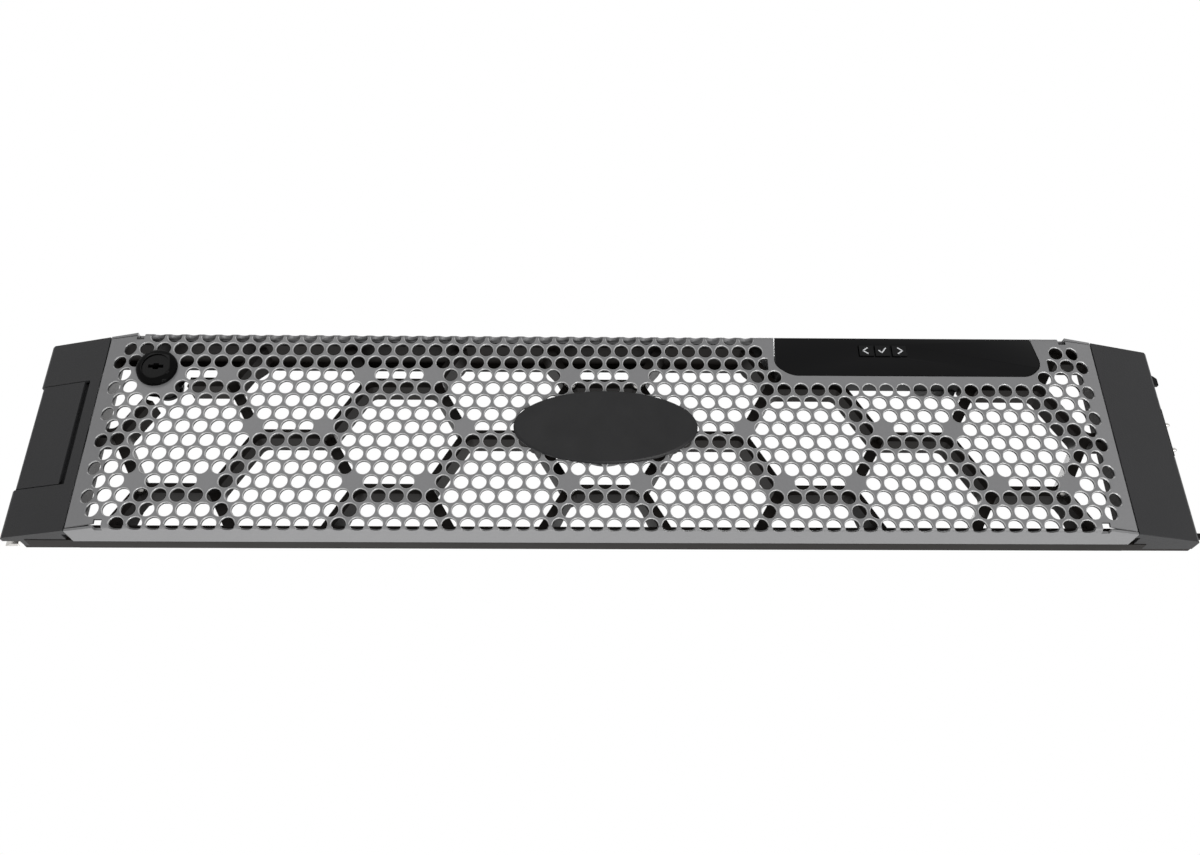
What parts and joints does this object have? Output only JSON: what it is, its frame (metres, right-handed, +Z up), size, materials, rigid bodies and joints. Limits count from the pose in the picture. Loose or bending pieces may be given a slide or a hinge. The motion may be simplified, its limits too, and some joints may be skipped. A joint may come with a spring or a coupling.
{
  "type": "server front bezel",
  "caption": "Lockable front bezel for a two-unit rack server: perforated grey steel grille on a black hexagon lattice frame, with end caps, display and key lock",
  "frame": {"origin": "middle of the bottom face, half-way through the depth", "axes": "+X to the right seen from the front, +Y to the back, +Z up"},
  "size_m": [0.4637, 0.0235, 0.0868],
  "materials": {
    "sheet_paint": "satin",
    "frame_black": "satin",
    "cap_charcoal": "fine texture",
    "inner_black": "matte",
    "bright_steel": "bright",
    "black_steel": "satin",
    "lock_black": "gloss",
    "window_gloss": "high gloss",
    "board_green": "matte",
    "bracket_grey": "satin",
    "key_black": "satin",
    "badge_black": "satin",
    "gold_plate": "polished",
    "label_white": "matte"
  },
  "bodies": {
    "bezel": {"grille": "sheet_paint", "rear_frame": "frame_black", "left_end_cap": "cap_charcoal", "right_end_cap": "cap_charcoal", "latch_spring": "bright_steel", "lock_body": "lock_black", "lock_spacer_ring": "black_steel", "lock_nut": "lock_black", "display_window": "window_gloss", "display_housing": "inner_black", "display_board": "board_green", "display_cover": "frame_black", "display_bracket": "bracket_grey", "display_cover_screws": "black_steel", "badge_plate": "badge_black", "badge_retainer": "bracket_grey", "badge_screw": "black_steel", "lattice_screws": "black_steel", "rim_screws": "black_steel", "right_plate_screws": "black_steel", "left_plate_screws": "black_steel", "sheet_posts": "bright_steel", "connector_housing": "inner_black", "connector_guide_pins": "bright_steel", "rack_hooks": "black_steel", "ground_tab": "bright_steel", "rear_label": "label_white"},
    "latch": {"release_button": "cap_charcoal", "latch_slider": "inner_black", "latch_bolts": "bright_steel", "latch_guide_screws": "black_steel"},
    "lock_plug": {"lock_cylinder": "lock_black", "lock_cam": "black_steel", "lock_cam_screw": "black_steel"},
    "left_key_body": {"left_key": "key_black"},
    "select_key_body": {"select_key": "key_black"},
    "right_key_body": {"right_key": "key_black"},
    "contact_1": {"contact_pin_1": "gold_plate"},
    "contact_2": {"contact_pin_2": "gold_plate"},
    "contact_3": {"contact_pin_3": "gold_plate"},
    "contact_4": {"contact_pin_4": "gold_plate"},
    "contact_5": {"contact_pin_5": "gold_plate"}
  },
  "joints": [
    {"name": "latch_slide", "type": "slide", "parent": "bezel", "child": "latch", "axis": [1, 0, 0], "range_m": [0, 0.002], "stiffness_N_per_m": 600, "springref_m": -0.002, "deforming": ["latch_spring"]},
    {"name": "lock_turn", "type": "hinge", "parent": "bezel", "child": "lock_plug", "pos_m": [-0.179, 0, 0.0692], "axis": [0, 1, 0], "range_deg": [0, 90]},
    {"name": "left_key_press", "type": "slide", "parent": "bezel", "child": "left_key_body", "axis": [0, 1, 0], "range_m": [0, 0.0006], "stiffness_N_per_m": 1500, "springref_m": -0.0002},
    {"name": "select_key_press", "type": "slide", "parent": "bezel", "child": "select_key_body", "axis": [0, 1, 0], "range_m": [0, 0.0006], "stiffness_N_per_m": 1500, "springref_m": -0.0002},
    {"name": "right_key_press", "type": "slide", "parent": "bezel", "child": "right_key_body", "axis": [0, 1, 0], "range_m": [0, 0.0006], "stiffness_N_per_m": 1500, "springref_m": -0.0002},
    {"name": "contact_1_press", "type": "slide", "parent": "bezel", "child": "contact_1", "axis": [-1, 0, 0], "range_m": [0, 0.0008], "stiffness_N_per_m": 500, "springref_m": -0.0002},
    {"name": "contact_2_press", "type": "slide", "parent": "bezel", "child": "contact_2", "axis": [-1, 0, 0], "range_m": [0, 0.0008], "stiffness_N_per_m": 500, "springref_m": -0.0002},
    {"name": "contact_3_press", "type": "slide", "parent": "bezel", "child": "contact_3", "axis": [-1, 0, 0], "range_m": [0, 0.0008], "stiffness_N_per_m": 500, "springref_m": -0.0002},
    {"name": "contact_4_press", "type": "slide", "parent": "bezel", "child": "contact_4", "axis": [-1, 0, 0], "range_m": [0, 0.0008], "stiffness_N_per_m": 500, "springref_m": -0.0002},
    {"name": "contact_5_press", "type": "slide", "parent": "bezel", "child": "contact_5", "axis": [-1, 0, 0], "range_m": [0, 0.0008], "stiffness_N_per_m": 500, "springref_m": -0.0002}
  ]
}
